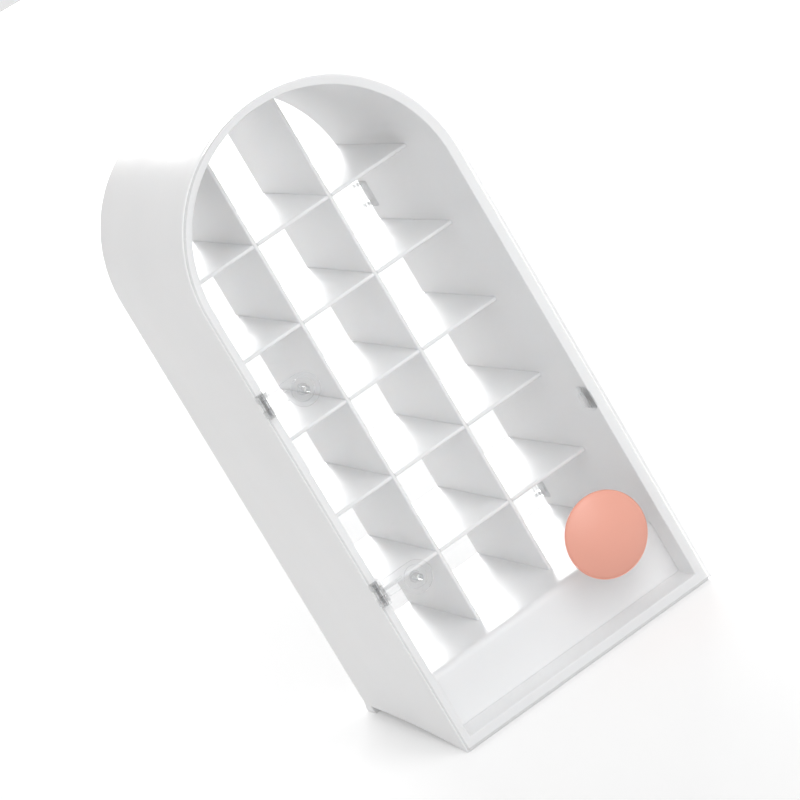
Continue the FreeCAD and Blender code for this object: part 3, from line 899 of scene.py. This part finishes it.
def door_mesh():
    """The sheet with rounded edges, hinge notches and fixing holes."""
    door = bpy.context.scene.box_door
    fit = bpy.context.scene.box_fittings
    r = door.edge_round
    outline = door_outline()
    sides = [(r - r * math.sin(a), r - r * math.cos(a)) for a in evenly(0, math.pi / 2, 5)]
    profile = [(1.6 * r, door.front)]
    profile += [(inset, door.front + away) for inset, away in sides]
    profile += [(inset, door.back - away) for inset, away in reversed(sides)]
    profile.append((1.6 * r, door.back))
    bm = bmesh.new()
    rings = [loop_at(bm, drawn_in(outline, inset), y) for inset, y in profile]
    for first, second in zip(rings, rings[1:]):
        joined(bm, first, second)
    front_edges = loop_edges(bm, rings[0])
    back_edges = loop_edges(bm, rings[-1])
    holes = [(door.knob_x, door.knob_z, door.screw_hole)]
    for z in (fit.upper_hinge, fit.lower_hinge):
        holes.append((fit.boss_x, z - fit.boss_drop, fit.rivet + BORE_GAP))
    for x, z, radius in holes:
        circle = circle_points(x, z, radius)
        front = loop_at(bm, circle, door.front)
        back = loop_at(bm, circle, door.back)
        joined(bm, front, back)
        front_edges += loop_edges(bm, front)
        back_edges += loop_edges(bm, back)
    bmesh.ops.triangle_fill(bm, edges=front_edges, use_beauty=True)
    bmesh.ops.triangle_fill(bm, edges=back_edges, use_beauty=True)
    return bm


def turned(x, z, profile, steps=96):
    """A closed solid turned about a line from front to back, from points of radius and depth."""
    bm = bmesh.new()
    rings = [loop_at(bm, circle_points(x, z, radius, steps), y) for radius, y in profile[1:-1]]
    for first, second in zip(rings, rings[1:]):
        joined(bm, first, second)
    for end, ring in ((profile[0], rings[0]), (profile[-1], rings[-1])):
        pole = bm.verts.new((x, end[1], z))
        for k in range(steps):
            bm.faces.new((ring[k - 1], ring[k], pole))
    return bm


def knob_profile():
    """Half outline of the button: flat back, rounded edge and a low dome."""
    door = bpy.context.scene.box_door
    radius = door.knob_radius
    edge = door.knob_edge
    rise = door.knob_depth - edge
    dome = (radius ** 2 + rise ** 2) / (2 * rise)
    steep = math.asin(radius / dome)
    seat = door.front - KNOB_GAP
    profile = [(0.0, seat), (0.5 * radius, seat), (radius - 1.6 * edge, seat)]
    for a in evenly(-math.pi / 2, 0, 6):
        profile.append((radius - edge + edge * math.cos(a), seat - edge - edge * math.sin(a)))
    soft = 0.35 * edge
    for k, a in enumerate(evenly(steep, 0, 40)):
        fade = math.exp(-k / 1.2) * soft
        across = dome * math.sin(a)
        profile.append((across - fade, door.front - door.knob_depth + dome * (1 - math.cos(a)) + 0.4 * fade))
    return profile[:-1] + [(0.0, door.front - door.knob_depth)]


# Operators

class LIPSTICKBOX_OT_shell(bpy.types.Operator):
    """Build the moulded shell with its round top, rim, bottom and two toes"""
    bl_idname = "lipstick_box.shell"
    bl_label = "Shell"

    def execute(self, context):
        shell = mesh_from("shell", ring_surface(shell_rings(), closed=True))
        smooth(shell, 40)
        place_piece(linked_object("shell", shell), "box", "shell_white", ["body_shell"])
        toes = linked_object("rear_toes", mesh_from("rear_toes", merged([toe_mesh(-1), toe_mesh(1)])))
        smooth(toes.data, 20)
        soften(toes, STOUT_ROUND, 20)
        place_piece(toes, "box", "shell_white", ["body_shell"])
        return {"FINISHED"}


class LIPSTICKBOX_OT_plinth(bpy.types.Operator):
    """Build the raised floor, a cover with a rounded nose"""
    bl_idname = "lipstick_box.plinth"
    bl_label = "Plinth"

    def execute(self, context):
        sizes = context.scene.box_shell
        front = sizes.plinth_front
        back = sizes.back
        top = sizes.plinth_top
        r = sizes.plinth_round
        wall = sizes.plinth_wall
        small = sizes.edge_round
        outer = [(front, inner_floor(front) + sizes.fit), (front, top - r - PLINTH_SKIRT)]
        for a in evenly(math.pi, math.pi / 2, 9):
            outer.append((front + r + r * math.cos(a), top - r + r * math.sin(a)))
        outer += [(y, top) for y in evenly(front + r + PLINTH_HOLD, back - small - PLINTH_HOLD, 8)]
        for a in evenly(math.pi / 2, 0, 4):
            outer.append((back - small + small * math.cos(a), top - small + small * math.sin(a)))
        outer += [(back, top - PLINTH_SKIRT), (back, inner_floor(back) + sizes.fit)]
        inner = [(back - wall, inner_floor(back - wall) + sizes.fit), (back - wall, top - wall)]
        inner += [(front + wall, top - wall), (front + wall, inner_floor(front + wall) + sizes.fit)]
        rings = []
        for s in evenly(-1, 1, 17):
            rings.append([(s * (inner_half(y) - sizes.fit), y, z) for y, z in outer + inner])
        mesh = mesh_from("plinth", ring_surface(rings))
        smooth(mesh, 40)
        place_piece(linked_object("plinth_cover", mesh), "box", "plinth_white", ["plinth"])
        return {"FINISHED"}


class LIPSTICKBOX_OT_panels(bpy.types.Operator):
    """Build the level and upright panels of the grid from one set of sizes"""
    bl_idname = "lipstick_box.panels"
    bl_label = "Panels"

    def execute(self, context):
        shell = context.scene.box_shell
        panels = context.scene.box_panels
        values = {
            "Wall": panels.wall, "Edge Round": panels.edge_round, "Front": panels.front,
            "Back": shell.back, "Rim": shell.front,
            "Inside Half": shell.half_width - shell.rim_wall - shell.fit,
            "Taper": math.tan(shell.inner_draft), "Side Height": shell.side_height,
            "Plinth Top": shell.plinth_top, "Column Pitch": panels.column_pitch,
            "First Shelf": panels.first_shelf, "Row Pitch": panels.row_pitch, "Rows": panels.rows,
            "Slot Gap": shell.fit, "Material": finish_named("panel_white"),
        }
        for name, tree, nodes in (("level_panels", shelf_tree(), SHELVES),
                                  ("upright_panels", divider_tree(), DIVIDERS)):
            piece = linked_object(name, bpy.data.meshes.new(name))
            run_tree(piece, tree, values)
            smooth(piece.data, 40)
            place_piece(piece, "box", "panel_white", nodes)
        return {"FINISHED"}


class LIPSTICKBOX_OT_door(bpy.types.Operator):
    """Build the clear sheet with its hinge notches and polished edges"""
    bl_idname = "lipstick_box.door"
    bl_label = "Door sheet"

    def execute(self, context):
        mesh = mesh_from("door_sheet", door_mesh())
        smooth(mesh, 40)
        place_piece(linked_object("door_sheet", mesh), "door", "clear_sheet", ["door_panel"])
        return {"FINISHED"}


class LIPSTICKBOX_OT_knob(bpy.types.Operator):
    """Build the round button and the screw behind it"""
    bl_idname = "lipstick_box.knob"
    bl_label = "Knob and screw"

    def execute(self, context):
        door = context.scene.box_door
        mesh = mesh_from("knob_button", turned(door.knob_x, door.knob_z, knob_profile(), 128))
        smooth(mesh, 50)
        place_piece(linked_object("knob_button", mesh), "door", "coral_knob", ["knob"])
        head = (screw_high.x - screw_low.x) / 2
        shank = door.screw_hole - BORE_GAP
        crown = screw_high.y
        seat = door.back
        r = 0.0005
        profile = [(0.0, crown), (head - 2.2 * r, crown)]
        for a in evenly(math.pi / 2, 0, 6):
            profile.append((head - r + r * math.cos(a), crown - r + r * math.sin(a)))
        profile += [(head, seat), (shank, seat), (shank, screw_low.y + r), (0.0, screw_low.y + r)]
        bm = turned(door.knob_x, door.knob_z, profile, 64)
        bar = 0.7 * head
        slim = 0.00035
        deep = crown - 0.00075
        cuts = [
            block(door.knob_x - u, door.knob_x + u, deep, crown + r, door.knob_z - v, door.knob_z + v)
            for u, v in ((bar, slim), (slim, bar))
        ]
        screw = carved("screw", [bm], cuts, 0.0, 30.0)
        place_piece(screw, "door", "screw_steel", ["knob_screw"])
        return {"FINISHED"}


class LIPSTICKBOX_OT_hinges(bpy.types.Operator):
    """Build the clear hinge leaves, their pins and rivets at both heights"""
    bl_idname = "lipstick_box.hinges"
    bl_label = "Hinges"

    def execute(self, context):
        fit = context.scene.box_fittings
        shell = context.scene.box_shell
        door = context.scene.box_door
        z = fit.upper_hinge
        drop = fit.upper_hinge - fit.lower_hinge
        z0 = z - fit.hinge_height / 2
        z1 = z + fit.hinge_height / 2
        rim = shell.front
        end = leaf_high.y
        half = shell.half_width
        front = rim - fit.leaf_wall
        outline = [
            (-half, fit.axis_y),
            (fit.axis_x + fit.knuckle, fit.axis_y),
            (fit.axis_x + fit.knuckle, front),
            (-inner_half(rim) + fit.leaf_wall, front),
            (-inner_half(end) + fit.leaf_wall, end),
            (-inner_half(end), end),
            (-inner_half(rim), rim),
            (-half, rim),
        ]
        reach = fit.tongue / 2 + fit.play
        body = carved(
            "hinge_body_leaves",
            [prism(outline, z0, z1), upright_bar(fit.axis_x, fit.axis_y, fit.knuckle, z0, z1)],
            [block(-half - 0.005, -half + 0.009, rim - 0.01, rim + fit.play, z - reach, z + reach),
             upright_bar(fit.axis_x, fit.axis_y, fit.pin + BORE_GAP, z0 - PAST, z1 + PAST, 24)],
            FITTING_ROUND,
        )
        place_pair(body, drop, "box", "hinge_body_leaf")
        tongue = fit.tongue / 2
        strap = fit.strap_height / 2
        start = -inner_half(rim) + fit.leaf_wall + fit.strap_gap
        boss_back = door.back + fit.boss_wall
        low = z - fit.boss_drop
        rib_end = fit.boss_x - fit.boss_radius
        leaf = carved(
            "hinge_door_leaves",
            [
                upright_bar(fit.axis_x, fit.axis_y, fit.knuckle, z - tongue, z + tongue),
                block(fit.axis_x, fit.axis_x + fit.knuckle, fit.axis_y, fit.strap_back,
                      z - tongue, z + tongue),
                block(fit.axis_x + 0.0002, start + 0.0003, door.back, fit.strap_back, z - tongue, z + tongue),
                block(start, fit.boss_x, door.back, fit.strap_back, z - strap, z + strap),
                deep_bar(fit.boss_x, low, fit.boss_drop + strap, door.back, fit.strap_back, 64),
                deep_bar(fit.boss_x, low, fit.boss_radius, door.back, boss_back, 48),
                block(start, rib_end, door.back, boss_back, z - fit.rib / 2, z + fit.rib / 2),
            ],
            [upright_bar(fit.axis_x, fit.axis_y, fit.pin + BORE_GAP, z0, z1, 24),
             deep_bar(fit.boss_x, low, fit.rivet + BORE_GAP, door.back - PAST, boss_back + PAST, 32)],
            FITTING_ROUND,
        )
        place_pair(leaf, drop, "door", "hinge_door_leaf")
        rod = upright_bar(fit.axis_x, fit.axis_y, fit.pin, z0, z1, 24)
        pin = carved("hinge_pins", [rod], (), SMALL_ROUND)
        place_pair(pin, drop, "box", "hinge_pin")
        head = fit.rivet_head
        top = rivet_high.y
        profile = [(0.0, top)]
        for a in evenly(0.15, math.pi / 2, 7):
            profile.append((head * math.sin(a), boss_back + (top - boss_back) * math.cos(a)))
        profile += [(fit.rivet, boss_back), (fit.rivet, door.front + FITTING_ROUND)]
        profile += [(fit.rivet - FITTING_ROUND, door.front), (0.0, door.front)]
        mesh = mesh_from("hinge_rivets", turned(fit.boss_x, low, profile, 40))
        smooth(mesh, 50)
        rivet = linked_object("hinge_rivets", mesh)
        place_pair(rivet, drop, "door", "hinge_rivet")
        return {"FINISHED"}


class LIPSTICKBOX_OT_catch(bpy.types.Operator):
    """Build the catch on the door and its keeper on the wall"""
    bl_idname = "lipstick_box.catch"
    bl_label = "Catch"

    def execute(self, context):
        fit = context.scene.box_fittings
        shell = context.scene.box_shell
        door = context.scene.box_door
        z0 = catch_low.z
        z1 = catch_high.z
        bead = fit.catch_bead
        ridge_y = shell.front + fit.ridge_set
        ridge_x = inner_half(ridge_y) - fit.keeper_wall
        axis = Vector((fit.axis_x, fit.axis_y))
        swing = (Vector((ridge_x, ridge_y)) - axis).length - 2 * bead - shell.fit
        tip_y = catch_high.y - bead
        tip_x = fit.axis_x + math.sqrt(swing ** 2 - (tip_y - fit.axis_y) ** 2)
        arm_x = tip_x + bead / 4
        radius = fit.catch_width / 2
        middle = catch_high.x - radius
        low = z0 + radius
        high = z1 - radius
        stadium = []
        for level, start in ((high, 0), (low, math.pi)):
            for a in evenly(start, start + math.pi, 17):
                stadium.append((middle + radius * math.cos(a), level + radius * math.sin(a)))
        base = standing(stadium, door.back, door.back + fit.catch_base)
        piece = carved(
            "catch_arm",
            [base, block(arm_x - fit.catch_arm, arm_x, door.back, tip_y, low, high),
             upright_bar(tip_x, tip_y, bead, low, high, 24)],
            (), SMALL_ROUND,
        )
        place_piece(piece, "door", "clear_fitting", ["door_catch"])
        y0 = keeper_low.y
        y1 = keeper_high.y
        plate = prism([
            (inner_half(y0), y0), (inner_half(y1), y1),
            (inner_half(y1) - fit.keeper_wall, y1), (inner_half(y0) - fit.keeper_wall, y0),
        ], keeper_low.z, keeper_high.z)
        ridge = upright_bar(ridge_x, ridge_y, bead, keeper_low.z, keeper_high.z, 24)
        keeper = carved("catch_keeper_plate", [plate, ridge], (), SMALL_ROUND)
        place_piece(keeper, "box", "clear_fitting", ["catch_keeper"])
        return {"FINISHED"}


class LIPSTICKBOX_OT_rear_clips(bpy.types.Operator):
    """Build the clear clips with their bars at the back of the right wall"""
    bl_idname = "lipstick_box.rear_clips"
    bl_label = "Rear clips"

    def execute(self, context):
        fit = context.scene.box_fittings
        shell = context.scene.box_shell
        x = mid(bar_low, bar_high, "x")
        y = mid(bar_low, bar_high, "y")
        z = mid(bar_low, bar_high, "z")
        z0 = clip_low.z
        z1 = clip_high.z
        drop = bar_low.z - lower_bar_low.z
        start = clip_low.y
        middle = (z1 - z0) / 2 - fit.eye_height
        leaf = prism([
            (inner_half(start) - shell.fit, start), (inner_half(y) - shell.fit, y),
            (inner_half(y) - fit.clip_leaf, y), (inner_half(start) - fit.clip_leaf, start),
        ], z0, z1)
        eyes = [
            upright_bar(x, y, fit.eye, z0, z0 + fit.eye_height),
            upright_bar(x, y, fit.eye, z1 - fit.eye_height, z1),
        ]
        window = block(x - WINDOW, x + WINDOW, y - fit.eye - fit.clip_leaf, y + WINDOW,
                       z - middle, z + middle)
        bore = upright_bar(x, y, fit.bar + BORE_GAP, z0 - PAST, z1 + PAST, 24)
        clip = carved("rear_clip_leaves", [leaf] + eyes, [window, bore], SMALL_ROUND)
        place_pair(clip, drop, "box", "rear_clip")
        rod = upright_bar(x, y, fit.bar, bar_low.z, bar_high.z, 24)
        bar = carved("rear_clip_bars", [rod], (), STOUT_ROUND)
        place_pair(bar, drop, "box", "rear_clip_pin")
        return {"FINISHED"}


class LIPSTICKBOX_OT_stage(bpy.types.Operator):
    """Set up the pale floor, the soft light and the camera"""
    bl_idname = "lipstick_box.stage"
    bl_label = "Stage"

    def execute(self, context):
        scene = context.scene
        sizes = scene.box_stage
        scene.view_settings.view_transform = "Standard"
        reach = FLOOR_REACH
        floor = mesh_from("floor", block(-reach, reach, -reach, reach, -FLOOR_DEPTH, 0))
        stand = linked_object("floor", floor)
        stand.data.materials.append(floor_material(sizes))
        scene.world = sky_world(sizes)
        add_lamp("key_lamp", *KEY_LAMP, sizes.key)
        add_lamp("back_lamp", *BACK_LAMP, sizes.back)
        tray = add_lamp("tray_lamp", *TRAY_LAMP, sizes.tray, TRAY_AIM)
        tray.data.spread = TRAY_SPREAD
        data = bpy.data.cameras.new("camera")
        data.lens = sizes.camera_lens
        data.sensor_width = 36
        camera = linked_object("camera", data)
        camera.location = sizes.camera_place
        camera.rotation_euler = sizes.camera_turn
        scene.camera = camera
        return {"FINISHED"}


def seen_plainly(tree):
    """A factor of one for rays from the camera, straight or through glass."""
    path = tree.nodes.new("ShaderNodeLightPath")
    return calc(tree, "MAXIMUM", path.outputs["Is Camera Ray"], path.outputs["Is Transmission Ray"])


def floor_material(sizes):
    """A pale floor that shows near white and keeps the soft shadow."""
    material, tree, output = material_tree("floor_white")
    cloud = noise(tree, add_node(tree, "ShaderNodeTexCoord"), 3.0)
    seen = seen_plainly(tree)
    paler = calc(tree, "MULTIPLY", seen, sizes.floor_seen - sizes.floor)
    level = calc(tree, "SUBTRACT", calc(tree, "ADD", paler, sizes.floor), calc(tree, "MULTIPLY", cloud, 0.01))
    lift = calc(tree, "MULTIPLY", seen, sizes.floor_lift)
    matt = add_node(tree, "ShaderNodeBsdfDiffuse", {"Color": level})
    glow = add_node(tree, "ShaderNodeEmission", {"Strength": lift})
    both = add_node(tree, "ShaderNodeAddShader", {0: matt.outputs[0], 1: glow.outputs[0]})
    tree.links.new(both.outputs[0], output.inputs["Surface"])
    return material


def sky_world(sizes):
    """An even world, white where it is seen."""
    world = bpy.data.worlds.new("soft_sky")
    world.use_nodes = True
    tree = world.node_tree
    tree.nodes.clear()
    extra = calc(tree, "MULTIPLY", seen_plainly(tree), 1.0 - sizes.sky)
    level = calc(tree, "ADD", extra, sizes.sky)
    sky = add_node(tree, "ShaderNodeBackground", {"Color": (1, 1, 1, 1), "Strength": level})
    add_node(tree, "ShaderNodeOutputWorld", {"Surface": sky.outputs[0]})
    return world


def add_lamp(name, place, size, power, aim_height=0.1):
    """A square lamp aimed at a height of the box."""
    data = bpy.data.lights.new(name, "AREA")
    data.shape = "SQUARE"
    data.size = size
    data.energy = power
    lamp = linked_object(name, data)
    lamp.location = place
    aim = Vector((0, 0, aim_height)) - Vector(place)
    lamp.rotation_euler = aim.to_track_quat("-Z", "Y").to_euler()
    return lamp


MAKERS = (
    LIPSTICKBOX_OT_shell,
    LIPSTICKBOX_OT_plinth,
    LIPSTICKBOX_OT_panels,
    LIPSTICKBOX_OT_door,
    LIPSTICKBOX_OT_knob,
    LIPSTICKBOX_OT_hinges,
    LIPSTICKBOX_OT_catch,
    LIPSTICKBOX_OT_rear_clips,
    LIPSTICKBOX_OT_stage,
)
GROUPS = (
    ("box_shell", ShellSizes, "Shell and plinth"),
    ("box_panels", PanelSizes, "Panels"),
    ("box_door", DoorSizes, "Door and knob"),
    ("box_fittings", FittingSizes, "Fittings"),
    ("box_finishes", Finishes, "Finishes"),
    ("box_stage", StageSettings, "Stage"),
)


class LIPSTICKBOX_PT_panel(bpy.types.Panel):
    """The box's makers and sizes in the sidebar"""
    bl_idname = "LIPSTICKBOX_PT_panel"
    bl_label = "Lipstick Box"
    bl_space_type = "VIEW_3D"
    bl_region_type = "UI"
    bl_category = "Lipstick Box"

    def draw(self, context):
        column = self.layout.column(align=True)
        for maker in MAKERS:
            column.operator(maker.bl_idname)
        for name, group, title in GROUPS:
            box = self.layout.box()
            box.label(text=title)
            sizes = getattr(context.scene, name)
            for key in group.__annotations__:
                box.prop(sizes, key)


def register():
    for name, group, title in GROUPS:
        bpy.utils.register_class(group)
        setattr(bpy.types.Scene, name, PointerProperty(type=group))
    for maker in MAKERS:
        bpy.utils.register_class(maker)
    bpy.utils.register_class(LIPSTICKBOX_PT_panel)


def unregister():
    bpy.utils.unregister_class(LIPSTICKBOX_PT_panel)
    for maker in reversed(MAKERS):
        bpy.utils.unregister_class(maker)
    for name, group, title in reversed(GROUPS):
        delattr(bpy.types.Scene, name)
        bpy.utils.unregister_class(group)


def main():
    """Build every piece and the stage."""
    register()
    bpy.ops.lipstick_box.shell()
    bpy.ops.lipstick_box.plinth()
    bpy.ops.lipstick_box.panels()
    bpy.ops.lipstick_box.door()
    bpy.ops.lipstick_box.knob()
    bpy.ops.lipstick_box.hinges()
    bpy.ops.lipstick_box.catch()
    bpy.ops.lipstick_box.rear_clips()
    bpy.ops.lipstick_box.stage()


if __name__ == "__main__":
    main()
